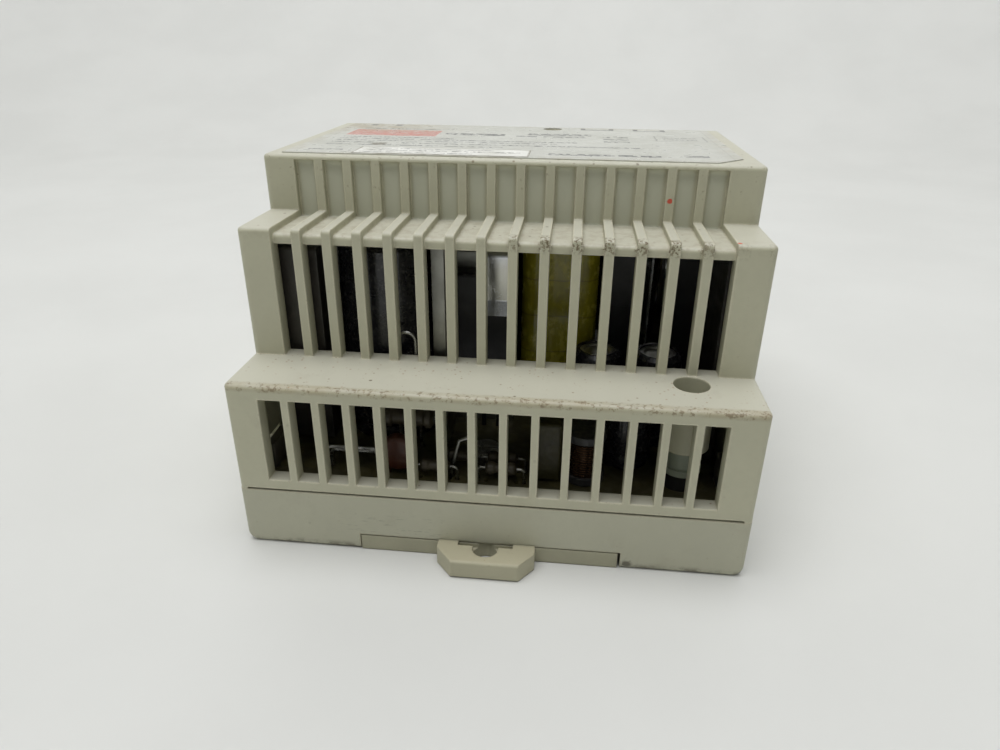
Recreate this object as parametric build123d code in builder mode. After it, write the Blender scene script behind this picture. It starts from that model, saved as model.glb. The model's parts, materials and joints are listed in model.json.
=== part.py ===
from build123d import *
import os
from math import pi

# DIN rail power supply, lying on its rear face with the label face up.
# Millimetres. X runs along the rail, Y across it, Z out of the rail towards the label.
# The origin is the middle of the seat that bears on the rail. The latch is on the -Y side.

# ---------------------------------------------------------------- driving dimensions
case_width = 78.0  # along the rail
case_height = 93.0  # across the rail
middle_height = 70.2  # second tier, across the rail
nose_height = 45.0  # front nose, across the rail
seat_depth = 4.7  # rail seat, up from the rear face
wall = 2.5
roof = 2.4

rear = -seat_depth
seam = rear + 10.0
lower_ledge = rear + 28.0
middle_ledge = rear + 48.2
nose_top = rear + 56.85

half_width = case_width / 2
half_height = case_height / 2
near_face = -half_height
inside_width = half_width - wall
inside_height = half_height - wall

# vents: fifteen columns on one pitch
vent_count = 15
vent_pitch = 4.58
vent_middle = -0.2
lower_vent_width = 3.45
lower_vent_bottom = seam + 2.0
lower_vent_top = lower_ledge - 2.2
upper_vent_width = 3.2
upper_vent_top = middle_ledge - 2.45
bay_depth = 1.0  # how far the ribs stand out of the wall between them
edge_radius = 0.6
corner_radius = 1.0

# rail channel for a 35 mm wide rail with 1 mm thick flanges
rail_half_width = 17.7
hook_lip = 14.9
lip_height = 3.3
land_half_width = 14.4

# latch
latch_travel = 5.0
latch_width = 40.1
latch_middle = -0.1
latch_bottom = rear + 0.1
latch_top = rear + 2.7
pocket_left = -20.3
pocket_right = 20.35
pocket_roof = rear + 2.9
nose_reach = -14.9
nose_block_top = rear + 3.4
spring_start = -35.0
spring_end = -25.0
spring_radius = 1.4
spring_wire = 0.2
spring_turns = 6
spring_axis = rear + 1.9

# circuit board
board_bottom = rear + 9.4
board_top = rear + 11.0
board_half_width = 36.2
board_half_height = 43.6
lead_end = board_bottom - 0.9
lead_radius = 0.35
seat_gap = 0.05

# terminals
pole_pitch = 6.0
input_poles = [-31.0, -25.0, -19.0]
output_poles = [11.0, 17.0, 23.0, 29.0]
poles = input_poles + output_poles
screw_line = 39.6
terminal_near = 35.3
terminal_far = 43.8
terminal_top = rear + 23.8
clamp_bottom = rear + 12.4
clamp_height = 6.5
clamp_travel = 2.4
contact_bottom = rear + 16.5
contact_thickness = 0.8
screw_radius = 1.5
screw_head_radius = 2.1
screw_head_bottom = rear + 21.8

# lamp and voltage trimmer
lamp_x = 29.1
lamp_y = near_face + 8.4
lamp_radius = 2.5
lamp_bottom = rear + 13.6
trimmer_x = 5.4
trimmer_y = 17.55
trimmer_hole = 1.8
rotor_radius = 1.5
rotor_bottom = rear + 49.5
rotor_top = rear + 53.2

# transformer
coil_x = 8.8
coil_y = -8.0
coil_bottom = rear + 19.5
coil_top = rear + 42.0
core_half_width = 13.0
core_half_depth = 5.0
core_leg = 4.6
core_middle_leg = 4.2
core_bottom = rear + 13.4
core_top = rear + 48.1

os.makedirs("parts", exist_ok=True)


# ---------------------------------------------------------------- helpers
def block(x_limits, y_limits, z_limits, corner=0.0, mode=Mode.ADD):
    """A box between limits, with its upright corners rounded if asked."""
    size_x = x_limits[1] - x_limits[0]
    size_y = y_limits[1] - y_limits[0]
    centre = ((x_limits[0] + x_limits[1]) / 2, (y_limits[0] + y_limits[1]) / 2)
    with BuildSketch(Plane.XY.offset(z_limits[0])) as outline:
        with Locations(centre):
            if corner:
                RectangleRounded(size_x, size_y, corner)
            else:
                Rectangle(size_x, size_y)
    extrude(outline.sketch, amount=z_limits[1] - z_limits[0], mode=mode)


def posts(spots, radius, z_limits, mode=Mode.ADD):
    """Upright round posts, or holes, at the given places."""
    with BuildSketch(Plane.XY.offset(z_limits[0])) as circles:
        with Locations(*spots):
            Circle(radius)
    extrude(circles.sketch, amount=z_limits[1] - z_limits[0], mode=mode)


lead_holes = []  # filled as the components are made, drilled in the board at the end


def leads(spots, top, radius=lead_radius):
    """Component leads that pass down through the circuit board."""
    posts(spots, radius, (lead_end, top))
    lead_holes.extend((x, y, radius + 0.15) for x, y in spots)


def windows(spots, width, z_limits, y_limits, mode=Mode.SUBTRACT):
    """A row of upright slots through a wall that faces along Y."""
    height = z_limits[1] - z_limits[0]
    middle = (z_limits[0] + z_limits[1]) / 2
    with BuildSketch(Plane.XZ.offset(-y_limits[0])) as row:
        with Locations(*[(x, middle) for x in spots]):
            Rectangle(width, height)
    extrude(row.sketch, amount=-(y_limits[1] - y_limits[0]), mode=mode)


def disc_across(x, y, z, radius, thickness):
    """A disc standing on edge, its flat faces looking along Y."""
    with BuildSketch(Plane.XZ.offset(-(y - thickness / 2))) as face:
        with Locations((x, z)):
            Circle(radius)
    extrude(face.sketch, amount=-thickness)


def finish(part, name):
    """Name a finished piece and write it."""
    part.label = name
    export_step(part, f"parts/{name}.step")


vent_spots = [vent_middle + (i - (vent_count - 1) / 2) * vent_pitch for i in range(vent_count)]

# ---------------------------------------------------------------- cover
tiers = [
    (case_height, lower_ledge),
    (middle_height, middle_ledge),
    (nose_height, nose_top),
]
far_vent_spots = vent_spots[4:8]
lip_groove = 0.38

with BuildPart() as cover:
    for tier_height, tier_top in tiers:
        with BuildSketch(Plane.XY.offset(seam)):
            RectangleRounded(case_width, tier_height, corner_radius)
        extrude(amount=tier_top - seam)
        fillet(cover.faces().sort_by(Axis.Z)[-1].edges(), edge_radius)
    for tier_height, tier_top in tiers:
        inner = tier_height / 2 - wall
        block((-inside_width, inside_width), (-inner, inner), (seam, tier_top - roof), mode=Mode.SUBTRACT)
    # recessed bays between the ribs: up the middle tier, across its ledge and up the nose
    middle_wall = -middle_height / 2
    nose_wall = -nose_height / 2
    bay_end = nose_top - edge_radius - 0.1
    for side in (1, -1):
        with BuildSketch(Plane.YZ) as bay_profile:
            with BuildLine():
                lintel = middle_wall + bay_depth
                floor = middle_ledge - bay_depth
                Polyline(
                    (side * nose_wall, bay_end),
                    (side * (middle_wall - 2), bay_end),
                    (side * (middle_wall - 2), upper_vent_top),
                    (side * lintel, upper_vent_top),
                    (side * lintel, floor - edge_radius),
                )
                RadiusArc(
                    (side * lintel, floor - edge_radius),
                    (side * (lintel + edge_radius), floor),
                    side * edge_radius,
                )
                Polyline(
                    (side * (lintel + edge_radius), floor),
                    (side * (nose_wall + bay_depth), floor),
                    (side * (nose_wall + bay_depth), bay_end - bay_depth),
                )
                RadiusArc(
                    (side * (nose_wall + bay_depth), bay_end - bay_depth),
                    (side * nose_wall, bay_end),
                    -side * bay_depth,
                )
            make_face()
        for x in vent_spots:
            extrude(
                bay_profile.sketch.moved(Location((x, 0, 0))),
                amount=upper_vent_width / 2,
                both=True,
                mode=Mode.SUBTRACT,
            )
    # vents of the middle tier, near and far, with their floor level with the lower ledge
    windows(vent_spots, upper_vent_width, (lower_ledge, upper_vent_top), (middle_wall - 1, middle_wall + wall))
    windows(vent_spots, upper_vent_width, (lower_ledge, upper_vent_top), (-middle_wall - wall, -middle_wall + 1))
    # vents of the lower tier
    windows(vent_spots, lower_vent_width, (lower_vent_bottom, lower_vent_top), (near_face - 1, near_face + wall))
    windows(far_vent_spots, lower_vent_width, (lower_vent_bottom, lower_vent_top), (inside_height, half_height + 1))
    # wire entries and driver holes for the terminals
    windows(poles, 4.8, (rear + 12.2, rear + 17.6), (inside_height, half_height + 1))
    posts([(x, screw_line) for x in poles], 2.3, (terminal_top, lower_ledge), mode=Mode.SUBTRACT)
    # indicator hole with its guide tube, and the trimmer hole in the front
    posts([(lamp_x, lamp_y)], 3.7, (rear + 18.0, lower_ledge - roof / 2))
    posts([(lamp_x, lamp_y)], 2.7, (rear + 18.0, lower_ledge), mode=Mode.SUBTRACT)
    posts([(trimmer_x, trimmer_y)], trimmer_hole, (nose_top - roof, nose_top), mode=Mode.SUBTRACT)
    # ribs in the corners that hold the board down
    for sx in (-1, 1):
        for sy in (-1, 1):
            rib_x = sorted((sx * (inside_width - 2), sx * (inside_width + 0.5)))
            rib_y = sorted((sy * (inside_height - 1), sy * (inside_height + 0.5)))
            block(rib_x, rib_y, (board_top + seat_gap, lower_ledge - roof))
    # windows that the base's snap hooks catch in
    for sx in (-1, 1):
        for sy in (-1, 1):
            hook_x = sorted((sx * (inside_width - 0.5), sx * (half_width + 1)))
            hook_y = sorted((sy * 34.8, sy * 41.2))
            block(hook_x, hook_y, (rear + 13.0, rear + 15.3), mode=Mode.SUBTRACT)
    # shadow groove along the seam, near and far
    for sy in (-1, 1):
        groove_y = sorted((sy * (half_height - 0.9), sy * (half_height + 1)))
        block((1.3 - half_width, half_width - 1.3), groove_y, (seam, seam + lip_groove), mode=Mode.SUBTRACT)
finish(cover.part, "cover")

# ---------------------------------------------------------------- base
floor_top = rear + 6.4
base_corner = 1.7  # long bottom edges, along Y
base_edge = 0.8
boss_spots = [(-2.0, -34.0), (-4.0, 38.6)]
support_spots = [(-34.0, -21.5), (33.5, -21.5), (-34.0, 8.0), (33.5, 22.0), (-30.0, -41.5), (24.5, -42.2)]



def floor_under(x, y):
    """Height inside the floor at a place, so that a post starts within it."""
    if abs(y) < 20.5:
        return floor_top - 0.5
    if y < 0 and abs(x) < 23.5:
        return rear + 4.5
    return rear + 1.5


with BuildPart() as base:
    with BuildSketch(Plane.XZ) as end_profile:
        with Locations((0, (rear + seam) / 2)):
            Rectangle(case_width, seam - rear)
        fillet(end_profile.vertices().group_by(Axis.Y)[0], base_corner)
    extrude(amount=half_height, both=True)
    for face in (base.faces().sort_by(Axis.Y)[0], base.faces().sort_by(Axis.Y)[-1]):
        fillet(face.edges().sort_by(Axis.Z)[:-1], base_edge)
    inner_x = (-inside_width, inside_width)
    block(inner_x, (-inside_height, inside_height), (floor_top, seam), mode=Mode.SUBTRACT)
    block(inner_x, (20.5, inside_height), (rear + 2.0, floor_top), mode=Mode.SUBTRACT)
    block(inner_x, (-inside_height, -20.5), (rear + 5.2, floor_top), mode=Mode.SUBTRACT)
    for sx in (-1, 1):
        side_x = sorted((sx * 23.5, sx * inside_width))
        block(side_x, (-inside_height, -20.5), (rear + 2.0, floor_top), mode=Mode.SUBTRACT)
    # rail channel: seat land, hook lip on the far side, plain wall on the near side
    with BuildSketch(Plane.YZ) as channel:
        with BuildLine():
            Polyline(
                (-rail_half_width, rear - 1),
                (-rail_half_width, 0.2),
                (-land_half_width, 0.2),
                (-land_half_width, 0),
                (land_half_width, 0),
                (land_half_width, 0.2),
                (rail_half_width, 0.2),
                (rail_half_width, rear + lip_height),
                (hook_lip, rear + lip_height),
                (hook_lip, rear + 1.2),
                (hook_lip + 1.2, rear),
                (hook_lip + 1.2, rear - 1),
                close=True,
            )
        make_face()
    extrude(channel.sketch, amount=half_width + 1, both=True, mode=Mode.SUBTRACT)
    # latch pocket with its guide grooves, the deeper end for the nose and the spring recess
    block((pocket_left, pocket_right), (near_face - 1, -rail_half_width + 1), (rear - 1, pocket_roof),
          mode=Mode.SUBTRACT)
    block((pocket_left, pocket_right), (-23.6, -rail_half_width + 1), (rear, rear + 3.6), mode=Mode.SUBTRACT)
    groove_front = -38.0 - latch_travel - 0.3
    block((-21.55, 21.55), (groove_front, -rail_half_width + 1), (rear + 0.8, rear + 2.0), mode=Mode.SUBTRACT)
    block((-2.1, 2.1), (spring_start, spring_end + 1), (pocket_roof - 0.1, rear + 3.8), mode=Mode.SUBTRACT)
    block((-2.3, 2.3), (spring_start - 2, spring_start), (rear + 0.3, pocket_roof + 0.1))
    # bosses and supports under the board
    for x, y in boss_spots:
        posts([(x, y)], 3.0, (floor_under(x, y), board_bottom))
    for x, y in support_spots:
        posts([(x, y)], 1.8, (floor_under(x, y), board_bottom))
    posts(boss_spots, 1.32, (rear + 5.9, board_bottom), mode=Mode.SUBTRACT)
    # snap hooks
    for sx in (-1, 1):
        for sy in (-1, 1):
            tongue_x = sorted((sx * 35.0, sx * 36.35))
            tongue_y = sorted((sy * 35.0, sy * 41.0))
            block(tongue_x, tongue_y, (rear + 1.9, rear + 15.0))
            with BuildSketch(Plane.XZ.offset(-tongue_y[0])) as nub:
                with BuildLine():
                    Polyline(
                        (sx * 36.3, rear + 13.1),
                        (sx * 37.5, rear + 13.1),
                        (sx * 36.3, rear + 15.0),
                        close=True,
                    )
                make_face()
            extrude(nub.sketch, amount=-6.0)
finish(base.part, "base")

# ---------------------------------------------------------------- latch
latch_left = latch_middle - latch_width / 2
latch_right = latch_middle + latch_width / 2
tab_left = -7.7
tab_right = 7.3
tab_top = rear + 3.1
tab_reach = near_face - latch_travel
tab_bevel = 3.1

with BuildPart() as latch_slider:
    latch_x = (latch_left, latch_right)
    block(latch_x, (near_face, -rail_half_width), (latch_bottom, latch_top))
    with BuildSketch(Plane.YZ.offset(latch_left)) as nose:
        with BuildLine():
            Polyline(
                (-18.3, latch_bottom),
                (-16.6, latch_bottom),
                (nose_reach, rear + 2.0),
                (nose_reach, nose_block_top),
                (-18.3, nose_block_top),
                close=True,
            )
        make_face()
    extrude(nose.sketch, amount=latch_width)
    block((latch_left - 1.15, latch_right + 1.15), (-38.0, -22.0), (rear + 0.95, rear + 1.85))
    block((-2.6, 2.6), (spring_start - 2 - seat_gap, spring_end), (rear - 1, latch_top), mode=Mode.SUBTRACT)
    for sx in (-1, 1):
        hollow_x = sorted((sx * 5.5, sx * 17.0))
        block(hollow_x, (-41.0, -24.0), (rear - 1, rear + 1.1), corner=1.0, mode=Mode.SUBTRACT)
    # pull tab
    with BuildSketch(Plane.XY.offset(latch_bottom)) as tab:
        with BuildLine():
            Polyline(
                (tab_left, near_face),
                (tab_left, tab_reach + tab_bevel),
                (tab_left + 2.6, tab_reach),
                (tab_right - 2.3, tab_reach),
                (tab_right, tab_reach + tab_bevel),
                (tab_right, near_face),
                close=True,
            )
        make_face()
    extrude(tab.sketch, amount=latch_top - latch_bottom)
    extrude(tab.sketch.moved(Location((0, -seat_gap, 0))), amount=tab_top - latch_bottom)
    tab_middle = (tab_left + tab_right) / 2 - 0.15
    block((tab_middle - 4.25, tab_middle + 4.25), (near_face - 1.1, near_face), (tab_top - 1.2, tab_top + 1),
          mode=Mode.SUBTRACT)
    posts([(tab_middle + 0.1, near_face - 1.55)], 2.0, (rear - 1, tab_top + 1), mode=Mode.SUBTRACT)
    fillet(latch_slider.faces().sort_by(Axis.Y)[0].edges(), 0.35)
finish(latch_slider.part, "latch_slider")

with BuildPart() as latch_spring:
    spring_length = spring_end - spring_start - 2 * spring_wire
    with BuildLine() as spring_path:
        Helix(
            pitch=spring_length / spring_turns,
            height=spring_length,
            radius=spring_radius,
            center=(0, spring_start + spring_wire, spring_axis),
            direction=(0, 1, 0),
        )
    with BuildSketch(Plane(origin=spring_path.line @ 0, z_dir=spring_path.line % 0)):
        Circle(spring_wire)
    sweep(path=spring_path.line, is_frenet=True)
finish(latch_spring.part, "latch_spring")

# ---------------------------------------------------------------- label and sticker
label_thickness = 0.15
with BuildPart() as front_label:
    with BuildSketch(Plane.XY.offset(nose_top)):
        with BuildLine():
            Polyline(
                (-36.4, -20.6),
                (32.0, -20.6),
                (36.4, -16.2),
                (36.4, 20.6),
                (-36.4, 20.6),
                close=True,
            )
        make_face()
        with Locations((trimmer_x, trimmer_y)):
            Circle(trimmer_hole + 0.1, mode=Mode.SUBTRACT)
    extrude(amount=label_thickness)
finish(front_label.part, "front_label")

with BuildPart() as serial_sticker:
    block((-25.3, 3.0), (-20.0, -13.0), (nose_top + label_thickness, nose_top + label_thickness + 0.06))
finish(serial_sticker.part, "serial_sticker")


# ---------------------------------------------------------------- terminals
def terminal_block(name, spots):
    """A row of screw terminals: one chamber, wire mouth and screw well for each pole."""
    with BuildPart() as body:
        ends = (spots[0] - pole_pitch / 2, spots[-1] + pole_pitch / 2)
        block(ends, (terminal_near, terminal_far), (board_top, terminal_top))
        for x in spots:
            chamber_y = (36.9, 42.3)
            block((x - 2.3, x + 2.3), chamber_y, (rear + 12.2, rear + 21.4), mode=Mode.SUBTRACT)
            block((x - 1.5, x + 1.5), (terminal_near, 37.0), (board_top, rear + 17.4), mode=Mode.SUBTRACT)
            block((x - 1.9, x + 1.9), (42.0, terminal_far), (rear + 12.8, rear + 16.6), mode=Mode.SUBTRACT)
        well_spots = [(x, screw_line) for x in spots]
        posts(well_spots, 1.7, (rear + 21.3, terminal_top), mode=Mode.SUBTRACT)
        posts(well_spots, 2.25, (screw_head_bottom - seat_gap, terminal_top), mode=Mode.SUBTRACT)
    finish(body.part, name)


terminal_block("input_terminal_block", input_poles)
terminal_block("output_terminal_block", output_poles)

with BuildPart() as terminal_contacts:
    contact_top = contact_bottom + contact_thickness
    for x in poles:
        block((x - 1.3, x + 1.3), (35.5, 41.9), (contact_bottom, contact_top))
        block((x - 1.3, x + 1.3), (35.5, 36.3), (board_top, contact_top))
        block((x - 0.5, x + 0.5), (35.5, 36.3), (lead_end, board_top))
finish(terminal_contacts.part, "terminal_contacts")

for number, x in enumerate(poles, start=1):
    with BuildPart() as terminal_clamp:
        clamp_top = clamp_bottom + clamp_height
        block((x - 2.2, x + 2.2), (37.1, 42.1), (clamp_bottom, clamp_top), corner=0.3)
        block((x - 1.6, x + 1.6), (37.0, 42.2), (clamp_bottom + 0.8, clamp_top - 1.4), mode=Mode.SUBTRACT)
        posts([(x, screw_line)], screw_radius + 0.05, (clamp_top - 1.5, clamp_top), mode=Mode.SUBTRACT)
    finish(terminal_clamp.part, f"terminal_clamp_{number}")
    with BuildPart() as terminal_screw:
        posts([(x, screw_line)], screw_radius, (contact_top + seat_gap, screw_head_bottom))
        posts([(x, screw_line)], screw_head_radius, (screw_head_bottom, screw_head_bottom + 1.6))
        fillet(terminal_screw.edges().filter_by(GeomType.CIRCLE).sort_by(Axis.Z)[-1], 0.3)
        slot_z = (screw_head_bottom + 0.8, screw_head_bottom + 2)
        block((x - 2.3, x + 2.3), (screw_line - 0.35, screw_line + 0.35), slot_z, mode=Mode.SUBTRACT)
        block((x - 0.35, x + 0.35), (screw_line - 1.3, screw_line + 1.3), slot_z, mode=Mode.SUBTRACT)
    finish(terminal_screw.part, f"terminal_screw_{number}")

# ---------------------------------------------------------------- indicator lamp
lamp_leads = [(lamp_x - 1.27, lamp_y), (lamp_x + 1.27, lamp_y)]
with BuildPart() as indicator_lamp:
    lamp_shoulder = lamp_bottom + 6.1
    posts([(lamp_x, lamp_y)], 3.0, (lamp_bottom, lamp_bottom + 1.0))
    posts([(lamp_x, lamp_y)], lamp_radius, (lamp_bottom, lamp_shoulder + lamp_radius))
    fillet(indicator_lamp.edges().filter_by(GeomType.CIRCLE).sort_by(Axis.Z)[-1], lamp_radius - 0.05)
    leads(lamp_leads, lamp_bottom + 0.1, 0.25)
finish(indicator_lamp.part, "indicator_lamp")

with BuildPart() as lamp_spacer:
    posts([(lamp_x, lamp_y)], 2.8, (board_top, lamp_bottom))
    posts(lamp_leads, 0.35, (board_top, lamp_bottom), mode=Mode.SUBTRACT)
finish(lamp_spacer.part, "lamp_spacer")

# ---------------------------------------------------------------- control board and trimmer
control_y = (14.0, 15.2)
control_pins = [(x, 14.6) for x in (-2.5, 0.5, 3.5, 6.5, 9.5, 12.5)]
with BuildPart() as control_board:
    block((-4.0, 14.0), control_y, (board_top, rear + 50.0))
    leads(control_pins, board_top + 0.1)
finish(control_board.part, "control_board")

with BuildPart() as control_chips:
    for x, z, width, height in ((1.0, 27.0, 5.0, 6.0), (9.0, 24.0, 6.4, 5.0), (6.0, 36.0, 4.0, 5.0)):
        block((x - width / 2, x + width / 2), (11.6, 14.0), (rear + z, rear + z + height))
finish(control_chips.part, "control_chips")

with BuildPart() as trimmer_body:
    block((trimmer_x - 3.3, trimmer_x + 3.3), (15.2, 19.85), (rear + 44.5, rear + 51.5), corner=0.3)
    posts([(trimmer_x, trimmer_y)], rotor_radius + 0.06, (rotor_bottom - seat_gap, rear + 52), mode=Mode.SUBTRACT)
finish(trimmer_body.part, "trimmer_body")

with BuildPart() as trimmer_rotor:
    posts([(trimmer_x, trimmer_y)], rotor_radius, (rotor_bottom, rotor_top))
    rotor_slot = (rotor_top - 0.8, rotor_top + 1)
    block((trimmer_x - 2, trimmer_x + 2), (trimmer_y - 0.25, trimmer_y + 0.25), rotor_slot, mode=Mode.SUBTRACT)
finish(trimmer_rotor.part, "trimmer_rotor")

# ---------------------------------------------------------------- transformer
flange_x = (coil_x - 7.9, coil_x + 7.9)
flange_y = (coil_y - 11.6, coil_y + 11.6)
transformer_pins = [(coil_x + 3.5 * i, coil_y + side * 10.0) for i in (-1.5, -0.5, 0.5, 1.5) for side in (-1, 1)]
yoke = 4.7

with BuildPart() as transformer_core:
    core_x = (coil_x - core_half_width, coil_x + core_half_width)
    core_y = (coil_y - core_half_depth, coil_y + core_half_depth)
    core_joint = (core_bottom + core_top) / 2
    block(core_x, core_y, (core_bottom, core_top))
    window_z = (core_bottom + yoke, core_top - yoke)
    block((core_x[0] + core_leg, core_x[1] - core_leg), core_y, window_z, mode=Mode.SUBTRACT)
    posts([(coil_x, coil_y)], core_middle_leg, window_z)
    split(bisect_by=Plane.XY.offset(core_joint), keep=Keep.BOTH)
finish(transformer_core.part, "transformer_core")

with BuildPart() as transformer_bobbin:
    block(flange_x, flange_y, (coil_bottom - 1.2, coil_bottom))
    block(flange_x, flange_y, (coil_top, coil_top + 1.2))
    for side in (-1, 1):
        rail_y = sorted((coil_y + side * 6.0, coil_y + side * 11.6))
        block(flange_x, rail_y, (rear + 11.4, coil_bottom))
    posts([(coil_x, coil_y)], core_middle_leg + 0.7, (coil_bottom, coil_top))
    posts([(coil_x, coil_y)], core_middle_leg + 0.1, (coil_bottom - 2, coil_top + 2), mode=Mode.SUBTRACT)
    leads(transformer_pins, rear + 11.5, 0.4)
finish(transformer_bobbin.part, "transformer_bobbin")

with BuildPart() as transformer_tape:
    tape_z = (coil_bottom + 0.05, coil_top - 0.05)
    block((coil_x - 6.6, coil_x + 6.6), (coil_y - 11.0, coil_y + 11.0), tape_z, corner=3.0)
    posts([(coil_x, coil_y)], core_middle_leg + 0.75, tape_z, mode=Mode.SUBTRACT)
finish(transformer_tape.part, "transformer_tape")

# ---------------------------------------------------------------- heat sinks and power parts
sink_top = rear + 45.0
with BuildPart() as primary_heat_sink:
    block((-10.7, -8.7), (-31.0, 9.0), (board_top, sink_top))
    block((-9.0, 1.4), (-21.5, -19.6), (board_top, rear + 42.0))
finish(primary_heat_sink.part, "primary_heat_sink")

with BuildPart() as secondary_heat_sink:
    block((33.4, 35.2), (-31.0, 12.0), (board_top, sink_top))
    with BuildSketch(Plane.YZ.offset(33.0)) as fastener_hole:
        with Locations((-7.0, rear + 37.0)):
            Circle(1.6)
    extrude(fastener_hole.sketch, amount=4, mode=Mode.SUBTRACT)
finish(secondary_heat_sink.part, "secondary_heat_sink")

transistor_x = -3.5
transistor_face = -25.9
transistor_leads = [(transistor_x + 2.54 * i, -23.5) for i in (-1, 0, 1)]
with BuildPart() as power_transistor:
    block((transistor_x - 4.8, transistor_x + 4.8), (transistor_face, -21.5), (rear + 24.0, rear + 39.5))
    fillet(power_transistor.edges().filter_by(Axis.X).group_by(Axis.Y)[0], 0.5)
    leads(transistor_leads, rear + 24.1)
finish(power_transistor.part, "power_transistor")

clip_x = (-2.7, 0.9)
clip_sheet = 0.5
with BuildPart() as transistor_clip:
    clip_middle = (clip_x[0] + clip_x[1]) / 2
    with BuildLine() as clip_path:
        FilletPolyline(
            (clip_middle, -19.25, rear + 35.0),
            (clip_middle, -19.25, rear + 43.6),
            (clip_middle, -25.0, rear + 44.9),
            (clip_middle, -27.7, rear + 43.4),
            (clip_middle, -26.25, rear + 35.5),
            (clip_middle, -27.3, rear + 33.2),
            radius=0.8,
        )
    with BuildSketch(Plane(origin=clip_path.line @ 0, x_dir=(1, 0, 0), z_dir=clip_path.line % 0)):
        Rectangle(clip_x[1] - clip_x[0], clip_sheet)
    sweep(path=clip_path.line)
finish(transistor_clip.part, "transistor_clip")

with BuildPart() as output_rectifier:
    block((29.0, 33.35), (-12.0, -2.0), (rear + 18.0, rear + 40.0))
    with BuildSketch(Plane.YZ.offset(28.5)) as rectifier_hole:
        with Locations((-7.0, rear + 37.0)):
            Circle(1.6)
    extrude(rectifier_hole.sketch, amount=5, mode=Mode.SUBTRACT)
    leads([(31.0, -7.0 + 2.54 * i) for i in (-1, 0, 1)], rear + 18.1)
finish(output_rectifier.part, "output_rectifier")


def upright_screw(x, y, seat, head_radius, head_height, shank):
    """A pan head machine screw that points down."""
    posts([(x, y)], head_radius, (seat, seat + head_height))
    posts([(x, y)], 1.3, (seat - shank, seat + 0.1))
    slot_z = (seat + head_height - 0.6, seat + head_height + 1)
    block((x - 3, x + 3), (y - 0.3, y + 0.3), slot_z, mode=Mode.SUBTRACT)


with BuildPart() as board_screws:
    for x, y in boss_spots:
        upright_screw(x, y, board_top, 2.5, 1.7, 4.9)
finish(board_screws.part, "board_screws")

with BuildPart() as rectifier_screw:
    with BuildSketch(Plane.YZ.offset(27.2)) as head:
        with Locations((-7.0, rear + 37.0)):
            Circle(2.6)
    extrude(head.sketch, amount=1.8)
    with BuildSketch(Plane.YZ.offset(28.9)) as shank:
        with Locations((-7.0, rear + 37.0)):
            Circle(1.45)
    extrude(shank.sketch, amount=7.2)
    with BuildSketch(Plane.YZ.offset(35.2)) as nut:
        with Locations((-7.0, rear + 37.0)):
            RegularPolygon(2.6, 6)
    extrude(nut.sketch, amount=0.9)
finish(rectifier_screw.part, "rectifier_screw")


# ---------------------------------------------------------------- capacitors
sleeve_thickness = 0.25
rim_width = 1.0


def half_profile(x, y):
    """An upright plane through a vertical axis, to draw what is revolved about it."""
    return Plane(origin=(x, y, 0), x_dir=(1, 0, 0), z_dir=(0, -1, 0))


def turned(x, y, points):
    """A solid of revolution about the upright axis at a place, from (radius, height) points."""
    with BuildSketch(half_profile(x, y)) as half:
        with BuildLine():
            Polyline(*points, close=True)
        make_face()
    revolve(half.sketch, axis=Axis((x, y, 0), (0, 0, 1)))


def can(x, y, radius, top, lead_gap):
    """The aluminium can of an electrolytic, with a rolled groove near its foot and two leads."""
    bottom = rear + 11.2
    side = radius - sleeve_thickness - 0.02
    foot = bottom + 0.1
    turned(x, y, [
        (0, foot),
        (side, foot),
        (side, bottom + 1.6),
        (side - 0.5, bottom + 2.2),
        (side, bottom + 2.8),
        (side, top - 0.4),
        (side - 0.4, top - 0.02),
        (side - 1.4, top - 0.02),
        (side - 1.7, top - 0.3),
        (0, top - 0.3),
    ])
    leads([(x - lead_gap / 2, y), (x + lead_gap / 2, y)], foot + 0.1)


def sleeve(x, y, radius, top):
    """The shrunk plastic sleeve round a can, folded over its top edge."""
    bottom = rear + 11.2
    inner = radius - sleeve_thickness
    turned(x, y, [
        (inner - 0.45, bottom),
        (radius - 0.1, bottom),
        (radius, bottom + 0.3),
        (radius, bottom + 1.7),
        (radius - 0.4, bottom + 2.2),
        (radius, bottom + 2.7),
        (radius, top - 0.3),
        (radius - 0.5, top + sleeve_thickness),
        (radius - rim_width, top + sleeve_thickness),
        (radius - rim_width, top),
        (inner - 0.4, top),
        (inner, top - 0.4),
        (inner, bottom + 2.8),
        (inner - 0.45, bottom + 2.2),
        (inner, bottom + 1.6),
        (inner, bottom + 0.08),
        (inner - 0.45, bottom + 0.08),
    ])


main_can = (-19.3, -23.2, 8.0, rear + 44.3)
output_cans = [
    (15.7, -24.3, 4.0, rear + 27.0),
    (25.6, -24.3, 4.0, rear + 27.0),
    (20.8, -32.0, 4.0, rear + 24.6),
    (14.5, 27.0, 5.0, rear + 31.0),
    (25.8, 27.0, 5.0, rear + 31.0),
]

with BuildPart() as input_capacitor:
    x, y, radius, top = main_can
    can(x, y, radius, top, 7.5)
finish(input_capacitor.part, "input_capacitor")

with BuildPart() as input_capacitor_sleeve:
    sleeve(*main_can)
finish(input_capacitor_sleeve.part, "input_capacitor_sleeve")

with BuildPart() as output_capacitors:
    for x, y, radius, top in output_cans:
        can(x, y, radius, top, 3.5)
finish(output_capacitors.part, "output_capacitors")

with BuildPart() as output_capacitor_sleeves:
    for spot in output_cans:
        sleeve(*spot)
finish(output_capacitor_sleeves.part, "output_capacitor_sleeves")

with BuildPart() as filter_capacitor:
    block((-36.0, -28.4), (-31.5, -13.5), (rear + 11.3, rear + 44.5))
    fillet(filter_capacitor.faces().sort_by(Axis.Z)[-1].edges(), 0.5)
    leads([(-32.2, -29.0), (-32.2, -16.5)], rear + 11.4)
finish(filter_capacitor.part, "filter_capacitor")

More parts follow.
